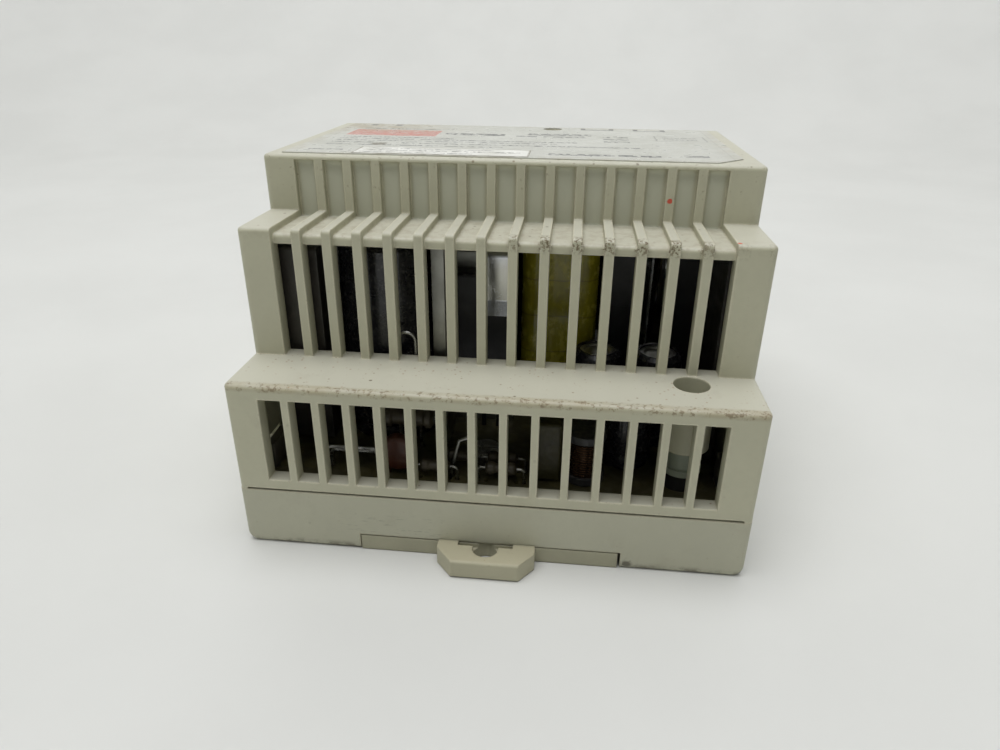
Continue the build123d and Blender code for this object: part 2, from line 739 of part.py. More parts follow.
with BuildPart() as film_capacitor:
    block((5.8, 10.6), (-41.0, -36.5), (rear + 11.4, rear + 21.5))
    fillet(film_capacitor.edges(), 0.6)
    leads([(6.6, -38.7), (9.8, -38.7)], rear + 12.2)
finish(film_capacitor.part, "film_capacitor")

disc_spots = [(-14.9, -40.5, 14.8, 3.0), (0.5, 25.0, 16.0, 3.6), (-9.5, 31.0, 15.6, 3.0)]
with BuildPart() as disc_capacitors:
    for x, y, z, radius in disc_spots:
        disc_across(x, y, rear + z, radius, 2.2)
        leads([(x - 1.8, y), (x + 1.8, y)], rear + z - radius / 2)
    fillet(disc_capacitors.edges().filter_by(GeomType.CIRCLE).filter_by(lambda e: e.radius > 2.5), 0.7)
finish(disc_capacitors.part, "disc_capacitors")

# ---------------------------------------------------------------- small parts and links
resistor_spots = [
    (-13.9, -36.6, 19.0, 8.0, 1.7),
    (1.4, -41.3, 13.4, 4.8, 1.0),
    (1.4, -38.2, 13.4, 4.8, 1.0),
    (-9.0, -41.4, 13.2, 4.6, 1.0),
    (-5.2, -38.0, 13.2, 4.6, 1.0),
    (-8.0, 26.5, 13.4, 6.0, 1.1),
    (-8.0, 22.5, 13.4, 6.0, 1.1),
    (-8.0, 18.5, 13.4, 6.0, 1.1),
    (22.0, 17.5, 13.4, 6.0, 1.1),
]


def resistor(x, y, z, length, radius):
    """A carbon film resistor lying along X: swollen ends, and leads bent down to the board."""
    half = length / 2
    neck = radius * 0.8
    with BuildSketch(Plane.XY.offset(z)) as side:
        with BuildLine():
            Polyline(
                (x - half, y),
                (x - half, y + radius * 0.6),
                (x - half + 0.4, y + radius),
                (x - half + 1.2, y + radius),
                (x - half + 1.6, y + neck),
                (x + half - 1.6, y + neck),
                (x + half - 1.2, y + radius),
                (x + half - 0.4, y + radius),
                (x + half, y + radius * 0.6),
                (x + half, y),
                close=True,
            )
        make_face()
    revolve(side.sketch, axis=Axis((x, y, z), (1, 0, 0)))


def bent_wire(points, radius, bend):
    """Round wire along a path in an upright plane, with rounded bends."""
    with BuildLine() as path:
        FilletPolyline(*points, radius=bend)
    with BuildSketch(Plane(origin=path.line @ 0, z_dir=path.line % 0)) as section:
        Circle(radius)
    sweep(section.sketch, path=path.line)
    for x, y, z in (points[0], points[-1]):
        lead_holes.append((x, y, radius + 0.15))


with BuildPart() as resistors:
    for x, y, z, length, radius in resistor_spots:
        resistor(x, y, rear + z, length, radius)
finish(resistors.part, "resistors")

with BuildPart() as resistor_leads:
    for x, y, z, length, radius in resistor_spots:
        for side in (-1, 1):
            out = x + side * (length / 2 + 1.2)
            bent_wire([(x + side * length / 2, y, rear + z), (out, y, rear + z), (out, y, lead_end)], 0.25, 0.6)
finish(resistor_leads.part, "resistor_leads")

with BuildPart() as wire_links:
    for x1, x2, y, z in ((-26.3, -18.2, -41.0, 15.3), (-26.3, -18.2, -39.4, 13.8)):
        top_z = rear + z
        bent_wire([(x1, y, lead_end), (x1, y, top_z), (x2, y, top_z), (x2, y, lead_end)], 0.3, 0.8)
    hook_y = -40.6
    bent_wire(
        [(-6.6, hook_y, lead_end), (-6.4, hook_y, rear + 12.5), (-5.2, hook_y, rear + 17.6),
         (-3.2, hook_y, rear + 18.4), (-2.8, hook_y, lead_end)], 0.3, 0.7)
    loop_y = -32.1
    bent_wire(
        [(-16.6, loop_y, lead_end), (-16.4, loop_y, rear + 31.6), (-13.4, loop_y, rear + 31.6),
         (-13.0, loop_y, lead_end)], 0.3, 1.4)
finish(wire_links.part, "wire_links")

# ---------------------------------------------------------------- mains filter and protection
choke_legs = [-29.4, -19.6]
choke_y = 2.0
with BuildPart() as choke_core:
    block((-32.4, -16.6), (choke_y - 3, choke_y + 3), (rear + 11.3, rear + 33.0))
    block((-26.8, -22.2), (choke_y - 3, choke_y + 3), (rear + 16.3, rear + 28.0), mode=Mode.SUBTRACT)
finish(choke_core.part, "choke_core")

with BuildPart() as choke_windings:
    for leg in choke_legs:
        winding_z = (rear + 16.5, rear + 27.8)
        block((leg - 4.7, leg + 4.7), (choke_y - 5.2, choke_y + 5.2), winding_z, corner=3.2)
        leads([(leg, choke_y - 4.3), (leg, choke_y + 4.3)], rear + 16.6, 0.4)
    block((-32.45, -26.75), (choke_y - 3.05, choke_y + 3.05), (rear + 16, rear + 28), mode=Mode.SUBTRACT)
    block((-22.25, -16.55), (choke_y - 3.05, choke_y + 3.05), (rear + 16, rear + 28), mode=Mode.SUBTRACT)
finish(choke_windings.part, "choke_windings")

fuse_x = -32.6
fuse_z = rear + 16.4
with BuildPart() as fuse:
    with BuildSketch(Plane.XZ.offset(-15.0)) as tube:
        with Locations((fuse_x, fuse_z)):
            Circle(2.3)
    extrude(tube.sketch, amount=-18.8)
finish(fuse.part, "fuse")

with BuildPart() as fuse_clips:
    for y1, y2 in ((14.4, 19.2), (29.6, 34.4)):
        with BuildSketch(Plane.XZ.offset(-y1)) as cap:
            with Locations((fuse_x, fuse_z)):
                Circle(2.6)
        extrude(cap.sketch, amount=-(y2 - y1))
        middle = (y1 + y2) / 2
        block((fuse_x - 3.0, fuse_x + 3.0), (middle - 1.8, middle + 1.8), (board_top, fuse_z + 1.6))
        block((fuse_x - 2.6, fuse_x + 2.6), (middle - 2, middle + 2), (fuse_z, fuse_z + 2), mode=Mode.SUBTRACT)
        with BuildSketch(Plane.XZ.offset(-y1)) as cap_again:
            with Locations((fuse_x, fuse_z)):
                Circle(2.6)
        extrude(cap_again.sketch, amount=-(y2 - y1))
        leads([(fuse_x - 2.0, middle), (fuse_x + 2.0, middle)], board_top + 0.1, 0.45)
    with BuildSketch(Plane.XZ.offset(-14.9)) as bore:
        with Locations((fuse_x, fuse_z)):
            Circle(2.31)
    extrude(bore.sketch, amount=-19.0, mode=Mode.SUBTRACT)
finish(fuse_clips.part, "fuse_clips")


def lead_disc(name, x, y, z, radius, thickness):
    """A dipped disc on two leads."""
    with BuildPart() as disc:
        disc_across(x, y, rear + z, radius, thickness)
        fillet(disc.edges().filter_by(GeomType.CIRCLE), thickness * 0.4)
        leads([(x - 2.5, y), (x + 2.5, y)], rear + z - radius / 2)
    finish(disc.part, name)


lead_disc("inrush_limiter", -22.5, 30.6, 18.4, 5.5, 3.6)
lead_disc("varistor", -22.5, 22.0, 18.0, 5.0, 3.2)

with BuildPart() as bridge_rectifier:
    block((-26.6, -12.4), (-12.6, -9.0), (rear + 13.0, rear + 24.0))
    fillet(bridge_rectifier.edges().filter_by(Axis.Z), 0.4)
    leads([(x, -10.8) for x in (-25.2, -21.4, -17.6, -13.8)], rear + 13.1, 0.4)
finish(bridge_rectifier.part, "bridge_rectifier")

# ---------------------------------------------------------------- output filter coil
drum_x = 14.2
drum_y = -38.3
with BuildPart() as output_choke_core:
    turned(drum_x, drum_y, [
        (0, rear + 11.2),
        (3.2, rear + 11.2),
        (3.2, rear + 12.4),
        (1.5, rear + 12.4),
        (1.5, rear + 18.4),
        (3.2, rear + 18.4),
        (3.2, rear + 19.6),
        (0, rear + 19.6),
    ])
finish(output_choke_core.part, "output_choke_core")

with BuildPart() as output_choke_winding:
    turned(drum_x, drum_y, [
        (1.55, rear + 12.5),
        (2.85, rear + 12.5),
        (2.95, rear + 15.4),
        (2.85, rear + 18.3),
        (1.55, rear + 18.3),
    ])
finish(output_choke_winding.part, "output_choke_winding")

# ---------------------------------------------------------------- circuit board and clear barrier
with BuildPart() as insulation_film:
    block((24.0, 24.3), (-17.0, 12.0), (board_top, rear + 45.0))
finish(insulation_film.part, "insulation_film")

with BuildPart() as circuit_board:
    board_x = (-board_half_width, board_half_width)
    block(board_x, (-board_half_height, board_half_height), (board_bottom, board_top))
    for sx in (-1, 1):
        for sy in (-1, 1):
            notch_x = sorted((sx * 34.6, sx * 37.0))
            notch_y = sorted((sy * 34.4, sy * 41.6))
            block(notch_x, notch_y, (board_bottom, board_top), mode=Mode.SUBTRACT)
    drilled = [(x, y, radius) for x, y, radius in lead_holes]
    drilled += [(x, 35.9, 0.75) for x in poles]
    drilled += [(x, y, 1.45) for x, y in boss_spots]
    for x, y, radius in drilled:
        posts([(x, y)], radius, (board_bottom, board_top), mode=Mode.SUBTRACT)
finish(circuit_board.part, "circuit_board")
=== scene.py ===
import json
import math

import bmesh
import bpy
from mathutils import Matrix, Vector


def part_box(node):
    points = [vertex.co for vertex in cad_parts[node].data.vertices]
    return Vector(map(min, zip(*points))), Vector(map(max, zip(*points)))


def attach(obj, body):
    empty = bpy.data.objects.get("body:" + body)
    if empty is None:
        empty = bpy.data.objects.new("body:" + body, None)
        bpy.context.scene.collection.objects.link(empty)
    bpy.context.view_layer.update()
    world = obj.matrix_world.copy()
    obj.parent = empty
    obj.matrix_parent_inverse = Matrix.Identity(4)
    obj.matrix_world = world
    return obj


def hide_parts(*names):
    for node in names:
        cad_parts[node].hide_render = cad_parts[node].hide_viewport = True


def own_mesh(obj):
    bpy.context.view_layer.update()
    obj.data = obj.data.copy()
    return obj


# A DIN rail power supply lying on its rear face. Metres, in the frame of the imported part:
# X along the rail, Y across it, Z out towards the label. The latch is on the -Y side.

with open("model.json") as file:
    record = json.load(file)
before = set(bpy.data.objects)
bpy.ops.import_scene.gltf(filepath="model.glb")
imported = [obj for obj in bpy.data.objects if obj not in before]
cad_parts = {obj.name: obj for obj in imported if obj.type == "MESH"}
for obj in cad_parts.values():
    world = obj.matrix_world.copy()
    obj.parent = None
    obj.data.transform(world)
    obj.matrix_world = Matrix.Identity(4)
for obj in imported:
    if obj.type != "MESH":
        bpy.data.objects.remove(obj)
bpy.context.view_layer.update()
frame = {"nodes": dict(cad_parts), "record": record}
nodes = frame["nodes"]
MM = 0.001
HOUSING = "housing"

# ------------------------------------------------------------------ places read from the frame
near_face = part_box("cover")[0].y
table_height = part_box("base")[0].z
label_low, label_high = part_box("front_label")
sticker_low, sticker_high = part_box("serial_sticker")
spring_low, spring_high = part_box("latch_spring")

# places on the cover that no box gives
lower_ledge = table_height + 28.0 * MM
middle_ledge = table_height + 48.2 * MM
middle_wall = -35.1 * MM
nose_wall = -22.5 * MM
vent_pitch = 4.58 * MM
vent_middle = -0.2 * MM


# ------------------------------------------------------------------ material nodes
class Paint:
    """A procedural material and short calls for its nodes. Lengths are in millimetres."""

    def __init__(self, name):
        self.material = bpy.data.materials.new(name)
        self.material.use_nodes = True
        self.tree = self.material.node_tree
        self.tree.nodes.clear()
        self.output = self.tree.nodes.new("ShaderNodeOutputMaterial")
        self.shader = self.tree.nodes.new("ShaderNodeBsdfPrincipled")
        self.tree.links.new(self.shader.outputs["BSDF"], self.output.inputs["Surface"])
        coords = self.tree.nodes.new("ShaderNodeTexCoord")
        self.place = self.vector("SCALE", coords.outputs["Object"], scale=1000.0)
        axes = self.tree.nodes.new("ShaderNodeSeparateXYZ")
        self.tree.links.new(self.place, axes.inputs[0])
        self.x, self.y, self.z = axes.outputs
        geometry = self.tree.nodes.new("ShaderNodeNewGeometry")
        self.normal = geometry.outputs["Normal"]
        facing = self.tree.nodes.new("ShaderNodeSeparateXYZ")
        self.tree.links.new(self.normal, facing.inputs[0])
        self.normal_x, self.normal_y, self.normal_z = facing.outputs

    def put(self, socket, value):
        """Feeds a socket from another node's output or from a plain value."""
        if isinstance(value, bpy.types.NodeSocket):
            self.tree.links.new(value, socket)
        elif isinstance(value, tuple) and len(value) == 3 and socket.type == "RGBA":
            socket.default_value = (*value, 1.0)
        else:
            socket.default_value = value

    def math(self, operation, a, b=0.0, c=0.0):
        """One operation on numbers."""
        node = self.tree.nodes.new("ShaderNodeMath")
        node.operation = operation
        for socket, value in zip(node.inputs, (a, b, c)):
            self.put(socket, value)
        return node.outputs[0]

    def vector(self, operation, a, b=(0.0, 0.0, 0.0), scale=1.0):
        """One operation on vectors."""
        node = self.tree.nodes.new("ShaderNodeVectorMath")
        node.operation = operation
        self.put(node.inputs[0], a)
        if operation == "SCALE":
            self.put(node.inputs["Scale"], scale)
        else:
            self.put(node.inputs[1], b)
        return node.outputs["Value" if operation in ("DOT_PRODUCT", "LENGTH", "DISTANCE") else 0]

    def step(self, value, low, high, out_low=0.0, out_high=1.0):
        """Smooth step from out_low to out_high as value goes from low to high."""
        node = self.tree.nodes.new("ShaderNodeMapRange")
        node.interpolation_type = "SMOOTHSTEP"
        for socket, number in zip(node.inputs, (value, low, high, out_low, out_high)):
            self.put(socket, number)
        return node.outputs[0]

    def noise(self, size, detail=3.0, roughness=0.55, stretch=(1.0, 1.0, 1.0), shift=0.0):
        """Cloudy noise from 0 to 1; size is about one cloud, in millimetres."""
        node = self.tree.nodes.new("ShaderNodeTexNoise")
        moved = self.vector("ADD", self.vector("MULTIPLY", self.place, stretch), (shift, shift, shift))
        self.put(node.inputs["Vector"], moved)
        self.put(node.inputs["Scale"], 1.0 / size)
        self.put(node.inputs["Detail"], detail)
        self.put(node.inputs["Roughness"], roughness)
        return node.outputs["Fac"]

    def cells(self, size, shift=0.0, randomness=1.0):
        """Distance to the nearest of scattered points, in cell widths, and each cell's random number."""
        node = self.tree.nodes.new("ShaderNodeTexVoronoi")
        moved = self.vector("ADD", self.place, (shift, shift * 1.7, shift * 0.6))
        self.put(node.inputs["Vector"], moved)
        self.put(node.inputs["Scale"], 1.0 / size)
        self.put(node.inputs["Randomness"], randomness)
        split = self.tree.nodes.new("ShaderNodeSeparateColor")
        self.tree.links.new(node.outputs["Color"], split.inputs[0])
        return node.outputs["Distance"], split.outputs[0]

    def blend(self, factor, a, b):
        """Colour a where the factor is 0, colour b where it is 1."""
        node = self.tree.nodes.new("ShaderNodeMix")
        node.data_type = "RGBA"
        self.put(node.inputs["Factor"], factor)
        self.put([s for s in node.inputs if s.name == "A" and s.type == "RGBA"][0], a)
        self.put([s for s in node.inputs if s.name == "B" and s.type == "RGBA"][0], b)
        return [s for s in node.outputs if s.type == "RGBA"][0]

    def edges(self, radius):
        """About 1 on corners and rims, 0 on flat faces."""
        bevel = self.tree.nodes.new("ShaderNodeBevel")
        bevel.samples = 4
        bevel.inputs["Radius"].default_value = radius * MM
        alike = self.vector("DOT_PRODUCT", bevel.outputs["Normal"], self.normal)
        return self.step(self.math("SUBTRACT", 1.0, alike), 0.004, 0.12), bevel.outputs["Normal"]

    def hollows(self, distance):
        """About 1 in corners and under overhangs, 0 in the open."""
        node = self.tree.nodes.new("ShaderNodeAmbientOcclusion")
        node.samples = 4
        node.inputs["Distance"].default_value = distance * MM
        return self.math("SUBTRACT", 1.0, node.outputs["AO"])

    def bump(self, height, depth, normal=None):
        """Raises the surface by height, from 0 to 1, times depth in millimetres."""
        node = self.tree.nodes.new("ShaderNodeBump")
        node.inputs["Distance"].default_value = depth * MM
        node.inputs["Strength"].default_value = 1.0
        self.put(node.inputs["Height"], height)
        if normal is not None:
            self.put(node.inputs["Normal"], normal)
        return node.outputs["Normal"]

    def finish(self, colour, roughness, normal=None, metal=0.0, **others):
        """Joins the results to the shader and gives the material."""
        self.put(self.shader.inputs["Base Color"], colour)
        self.put(self.shader.inputs["Roughness"], roughness)
        self.put(self.shader.inputs["Metallic"], metal)
        if normal is not None:
            self.put(self.shader.inputs["Normal"], normal)
        for name, value in others.items():
            self.put(self.shader.inputs[name], value)
        return self.material


def between(p, value, low, high, soft=0.08):
    """About 1 where a value lies between low and high, with soft ends."""
    rise = p.step(value, low - soft, low + soft)
    fall = p.step(value, high - soft, high + soft, 1.0, 0.0)
    return p.math("MULTIPLY", rise, fall)


def patch(p, x_limits, y_limits, soft=0.08):
    """A rectangle seen from above, such as a printed block."""
    return p.math("MULTIPLY", between(p, p.x, *x_limits, soft), between(p, p.y, *y_limits, soft))


def cover_marks(p, tone):
    """Dirt and marks that belong to places on the cover: crumbs on the ribs, washed ledges, red dots; and the
    bays between the ribs, painted lighter, partly as painted light.
    """
    below_ledge = p.math("SUBTRACT", middle_ledge / MM, p.z)
    column = p.math("MULTIPLY", p.math("SUBTRACT", p.x, vent_middle / MM), MM / vent_pitch)
    rib = p.math("ABSOLUTE", p.math("SUBTRACT", p.math("FRACT", column), 0.5))
    on_rib = p.step(rib, 0.16, 0.28, 1.0, 0.0)
    at_edge = between(p, p.y, middle_wall / MM - 0.8, middle_wall / MM + 1.6, 0.6)
    at_edge = p.math("MULTIPLY", at_edge, between(p, below_ledge, -0.5, 1.9, 0.6))
    along = p.math("MULTIPLY", p.step(p.x, -4.5, 5.5, 0.0, 1.0), p.step(p.x, 27.0, 33.0, 1.0, 0.25))
    crumbs = p.step(p.noise(0.42, 4.0, 0.75, shift=31), 0.48, 0.56)
    crumbs = p.math("MULTIPLY", crumbs, p.math("MULTIPLY", on_rib, p.math("MULTIPLY", at_edge, along)))
    tone = p.blend(p.math("MULTIPLY", crumbs, 0.95), tone, (0.15, 0.115, 0.06))
    on_middle_ledge = between(p, p.y, middle_wall / MM, nose_wall / MM, 0.4)
    wash = p.math("MULTIPLY", between(p, below_ledge, 0.3, 1.4, 0.3), on_middle_ledge)
    wash = p.math("MULTIPLY", wash, p.step(p.noise(1.6, 5.0, 0.7, shift=41), 0.42, 0.7))
    tone = p.blend(p.math("MULTIPLY", wash, 0.35), tone, (0.27, 0.21, 0.13))
    nose_line = between(p, p.y, nose_wall / MM - 0.4, nose_wall / MM + 1.3, 0.4)
    nose_line = p.math("MULTIPLY", nose_line, p.step(below_ledge, -3.3, -2.9, 1.0, 0.0))
    fluff = p.math("MULTIPLY", nose_line, p.step(p.noise(0.9, 5.0, 0.7, shift=17), 0.60, 0.68))
    tone = p.blend(p.math("MULTIPLY", fluff, 0.5), tone, (0.20, 0.15, 0.08))
    # The bays between the ribs are painted lighter and greyer: partly their own greyer colour, partly painted
    # light in these recesses.
    bay = p.math("MULTIPLY", p.step(rib, 0.20, 0.30), between(p, p.x, -34.0, 34.0, 0.3))
    in_bay = p.math("MULTIPLY", bay, between(p, p.y, nose_wall / MM + 0.6, nose_wall / MM + 1.6, 0.2))
    tone = p.blend(p.math("MULTIPLY", in_bay, 0.8), tone, (0.565, 0.575, 0.465))
    top_rim = between(p, p.y, nose_wall / MM - 0.5, nose_wall / MM + 2.0, 0.5)
    top_rim = p.math("MULTIPLY", top_rim, p.step(p.z, label_low.z / MM - 1.2, label_low.z / MM - 0.4))
    dots, chance = p.cells(1.1, shift=13.0)
    dots = p.math("MULTIPLY", p.step(dots, 0.12, 0.26, 1.0, 0.0), p.math("GREATER_THAN", chance, 0.55))
    tone = p.blend(p.math("MULTIPLY", p.math("MULTIPLY", dots, top_rim), 0.7), tone, (0.16, 0.11, 0.05))
    rim = p.math("MULTIPLY", between(p, p.y, near_face / MM - 0.3, near_face / MM + 1.3, 0.3),
                 p.step(p.z, lower_ledge / MM - 1.2, lower_ledge / MM - 0.5))
    stained = p.math("MULTIPLY", rim, p.step(p.noise(5.0, 5.0, 0.7, shift=73), 0.35, 0.65, 0.15, 0.5))
    tone = p.blend(stained, tone, (0.36, 0.30, 0.18))
    rim = p.math("MULTIPLY", rim, p.step(p.noise(0.8, 5.0, 0.75, shift=71), 0.52, 0.60))
    tone = p.blend(p.math("MULTIPLY", rim, 0.7), tone, (0.18, 0.13, 0.07))
    near, chance = p.cells(0.7, shift=29.0)
    freckles = p.math("MULTIPLY", p.step(near, 0.14, 0.30, 1.0, 0.0), p.math("GREATER_THAN", chance, 0.72))
    on_ledge = p.math("MULTIPLY", between(p, p.z, lower_ledge / MM - 0.2, lower_ledge / MM + 0.2, 0.05),
                      p.step(p.noise(6.0, 4.0, shift=81), 0.40, 0.62))
    freckles = p.math("MULTIPLY", p.math("MULTIPLY", freckles, on_ledge), 0.7)
    tone = p.blend(freckles, tone, (0.30, 0.17, 0.08))
    red_dots = (((25.0, nose_wall / MM, 46.7), 0.45), ((33.8, -33.9, middle_ledge / MM), 0.35))
    for place, size in red_dots:
        far = p.vector("DISTANCE", p.place, place)
        ragged = p.math("ADD", far, p.math("MULTIPLY", p.noise(0.4, 2.0), 0.25))
        tone = p.blend(p.step(ragged, size + 0.02, size + 0.14, 0.9, 0.0), tone, (0.62, 0.05, 0.02))
    return tone


def base_marks(p, tone):
    """Grime along the bottom edge, scratches above the latch, a dark smear, and painted shade on the snap
    hooks.
    """
    height = p.math("SUBTRACT", p.z, table_height / MM)
    # Painted shade: the snap hooks are painted dark on every side but the outer one, standing for the dark
    # inside of the cover.
    outward = p.math("MULTIPLY", p.normal_x, p.math("SIGN", p.x))
    hooks = p.math("MULTIPLY", p.step(height, 10.2, 10.8), p.step(outward, 0.4, 0.6, 1.0, 0.0))
    tone = p.blend(p.math("MULTIPLY", hooks, 0.85), tone, (0.075, 0.066, 0.058))
    on_wall = p.step(p.normal_z, -0.95, -0.6, 0.0, 1.0)
    blotches = p.step(p.noise(2.4, 5.0, 0.7, shift=5), 0.42, 0.66)
    low_line = p.math("MULTIPLY", p.step(height, 0.3, 1.6, 1.0, 0.0), blotches)
    low_line = p.math("MULTIPLY", low_line, p.math("MULTIPLY_ADD", on_wall, 0.70, 0.05))
    tone = p.blend(low_line, tone, (0.10, 0.08, 0.05))
    patches = p.step(p.noise(9.0, 6.0, 0.75, shift=33), 0.45, 0.75)
    rubbed = p.math("MULTIPLY", p.step(height, 0.0, 0.2, 1.0, 0.0), patches)
    tone = p.blend(p.math("MULTIPLY", rubbed, 0.35), tone, (0.30, 0.28, 0.22))
    scratch = p.noise(0.7, 3.0, 0.6, stretch=(0.35, 1.0, 2.2), shift=51)
    scratch = p.math("MULTIPLY", p.step(scratch, 0.58, 0.66), between(p, height, 2.6, 6.6, 1.2))
    scratch = p.math("MULTIPLY", scratch, between(p, p.x, -22.0, -4.0, 5.0))
    scratch = p.math("MULTIPLY", scratch, p.math("LESS_THAN", p.y, 0.0))
    tone = p.blend(p.math("MULTIPLY", scratch, 0.35), tone, (0.16, 0.15, 0.12))
    spot = p.vector("DISTANCE", p.place, (21.4, near_face / MM, table_height / MM + 1.0))
    spot = p.math("ADD", spot, p.math("MULTIPLY", p.noise(0.6, 4.0), 1.2))
    return p.blend(p.step(spot, 0.9, 1.5, 0.8, 0.0), tone, (0.07, 0.06, 0.04))


def latch_plate_shade(p, tone):
    """Painted shade on the long face of the sliding plate, behind the pull tab, in cloudy patches."""
    cloud = p.step(p.noise(3.0, 4.0), 0.1, 0.6, 0.2, 0.42)
    # Painted shade: the plate's long face is darkened in cloudy patches.
    plate = p.math("MULTIPLY", p.step(p.y, near_face / MM - 0.5, near_face / MM - 0.2), cloud)
    return p.blend(plate, tone, (0.25, 0.25, 0.18))


def case_plastic(name, colour, edge_wear_and_highlight, pale, shift=0.0, marks=None):
    """Moulded housing plastic: fine grain, cloudy tone, a painted-light tone on faces turned up, pale edges
    that are partly wear and partly painted highlight, darker patches in corners, specks.
    """
    p = Paint(name)
    cloud = p.noise(14.0, 4.0, shift=shift)
    tone = p.blend(p.step(cloud, 0.3, 0.7), tuple(c * 0.955 for c in colour), tuple(c * 1.03 for c in colour))
    fine = p.noise(1.1, 3.0, shift=shift)
    tone = p.blend(p.step(fine, 0.35, 0.75, 0.0, 0.35), tone, tuple(c * 0.93 for c in colour))
    # Faces turned up take their own tone: painted light, for how the light from above falls on them.
    painted_top_light_mask = p.step(p.normal_z, 0.3, 0.95)
    tone = p.blend(p.math("MULTIPLY", painted_top_light_mask, 0.75), tone, pale)
    edge, soft_normal = p.edges(0.45)
    # Edges blend to the edge tone: partly real wear, partly a painted highlight on the rims.
    worn = p.math("MULTIPLY", edge, p.step(p.noise(4.0, 4.0, shift=shift + 9), 0.25, 0.7, 0.65, 1.0))
    tone = p.blend(worn, tone, edge_wear_and_highlight)
    nicks = p.math("MULTIPLY", edge, p.step(p.noise(0.45, 4.0, 0.7, shift=shift + 27), 0.60, 0.68))
    tone = p.blend(p.math("MULTIPLY", nicks, 0.6), tone, (0.22, 0.17, 0.10))
    # Darker brown patches in corners and under overhangs.
    hollow = p.hollows(2.0)
    clumps = p.step(p.noise(2.2, 5.0, shift=shift + 3), 0.35, 0.75)
    corner_darkening = p.math("MULTIPLY", p.step(hollow, 0.4, 0.9), clumps)
    tone = p.blend(p.math("MULTIPLY", corner_darkening, 0.4), tone, (0.20, 0.16, 0.09))
    for cell, size, keep, strength, dye in (
        (0.8, 0.13, 0.86, 0.45, (0.26, 0.16, 0.08)),
        (1.5, 0.12, 0.72, 0.6, (0.22, 0.14, 0.07)),
        (4.2, 0.06, 0.55, 0.8, (0.12, 0.09, 0.05)),
    ):
        near, chance = p.cells(cell, shift=cell + shift)
        speck = p.step(near, size * 0.6, size * 1.3, 1.0, 0.0)
        speck = p.math("MULTIPLY", speck, p.math("GREATER_THAN", chance, keep))
        up = p.step(p.normal_z, 0.2, 0.9, 0.2, 1.0)
        tone = p.blend(p.math("MULTIPLY", p.math("MULTIPLY", speck, up), strength), tone, dye)
    smear = p.math("MULTIPLY", p.step(p.noise(7.0, 6.0, 0.7, shift=shift + 21), 0.54, 0.78), 0.25)
    tone = p.blend(smear, tone, (0.30, 0.26, 0.18))
    if marks:
        tone = marks(p, tone)
    grain = p.noise(0.16, 2.0, shift=shift)
    rough = p.step(p.noise(5.0, 4.0, shift=shift + 5), 0.3, 0.7, 0.42, 0.54)
    normal = p.bump(grain, 0.010, soft_normal)
    return p.finish(tone, rough, normal, **{"Specular IOR Level": 0.42})


def plain_plastic(name, colour, rough, grain=0.012):
    """A moulded internal part: soft mottling, fine grain and a film of dust on what faces up."""
    p = Paint(name)
    tone = p.blend(p.step(p.noise(2.6, 4.0), 0.3, 0.7), tuple(c * 0.8 for c in colour),
                   tuple(min(1.0, c * 1.15) for c in colour))
    edge, soft_normal = p.edges(0.25)
    tone = p.blend(p.math("MULTIPLY", edge, 0.3), tone, tuple(min(1.0, c * 1.5 + 0.03) for c in colour))
    fluff = p.step(p.noise(0.7, 5.0, shift=4), 0.35, 0.8)
    settled = p.math("MULTIPLY", p.step(p.normal_z, 0.3, 1.0), fluff)
    tone = p.blend(p.math("MULTIPLY", settled, 0.25), tone, (0.42, 0.39, 0.33))
    normal = p.bump(p.noise(0.12, 2.0), grain, soft_normal)
    gloss = p.step(p.noise(1.8, 3.0, shift=8), 0.3, 0.7, rough - 0.06, rough + 0.07)
    return p.finish(tone, gloss, normal)


def metal(name, colour, rough, brushed=(1.0, 1.0, 1.0), tarnish=0.25):
    """Bare or plated metal: drawn or rolled lines, cloudy tarnish, brighter worn edges."""
    p = Paint(name)
    lines = p.noise(0.25, 3.0, stretch=brushed)
    cloud = p.step(p.noise(3.0, 5.0, shift=2), 0.35, 0.75)
    tone = p.blend(p.math("MULTIPLY", cloud, tarnish), colour, tuple(c * 0.55 for c in colour))
    edge, soft_normal = p.edges(0.15)
    tone = p.blend(p.math("MULTIPLY", edge, 0.5), tone, tuple(min(1.0, c * 1.25) for c in colour))
    gloss = p.step(lines, 0.3, 0.7, rough - 0.05, rough + 0.08)
    gloss = p.math("ADD", gloss, p.math("MULTIPLY", cloud, 0.08))
    return p.finish(tone, gloss, p.bump(lines, 0.006, soft_normal), metal=1.0)


def wound_wire(name, colour, pitch):
    """Lacquered wire wound in close turns about an upright axis, with uneven turns, painted shade between the
    turns and a glossy coat.
    """
    p = Paint(name)
    along = p.math("ADD", p.z, p.math("MULTIPLY", p.noise(2.5, 2.0), 0.18))
    turns = p.math("MULTIPLY", along, 2 * math.pi / pitch)
    ridge = p.math("ABSOLUTE", p.math("SINE", p.math("MULTIPLY", turns, 0.5)))
    # Painted shade: the grooves between the turns are darkened.
    tone = p.blend(p.step(ridge, 0.0, 0.6), tuple(c * 0.25 for c in colour), colour)
    tone = p.blend(p.step(p.noise(1.5, 4.0), 0.4, 0.75, 0.0, 0.6), tone, tuple(c * 0.5 for c in colour))
    return p.finish(tone, p.step(p.noise(0.8, 3.0), 0.3, 0.7, 0.22, 0.36), p.bump(ridge, 0.12), metal=0.85)


def dipped_resin(name, colour, rough=0.22):
    """Dipped or potted resin: uneven thickness, small pits, glossy."""
    p = Paint(name)
    tone = p.blend(p.step(p.noise(1.6, 3.0), 0.3, 0.7), tuple(c * 0.75 for c in colour), colour)
    near, chance = p.cells(0.9)
    pit = p.math("SUBTRACT", 1.0, p.step(near, 0.05, 0.16))
    pit = p.math("MULTIPLY", pit, p.math("GREATER_THAN", chance, 0.6))
    swell = p.math("SUBTRACT", p.noise(1.3, 2.0, shift=2), p.math("MULTIPLY", pit, 0.4))
    gloss = p.step(p.noise(0.8, 3.0), 0.3, 0.7, rough - 0.04, rough + 0.12)
    return p.finish(tone, gloss, p.bump(swell, 0.10))


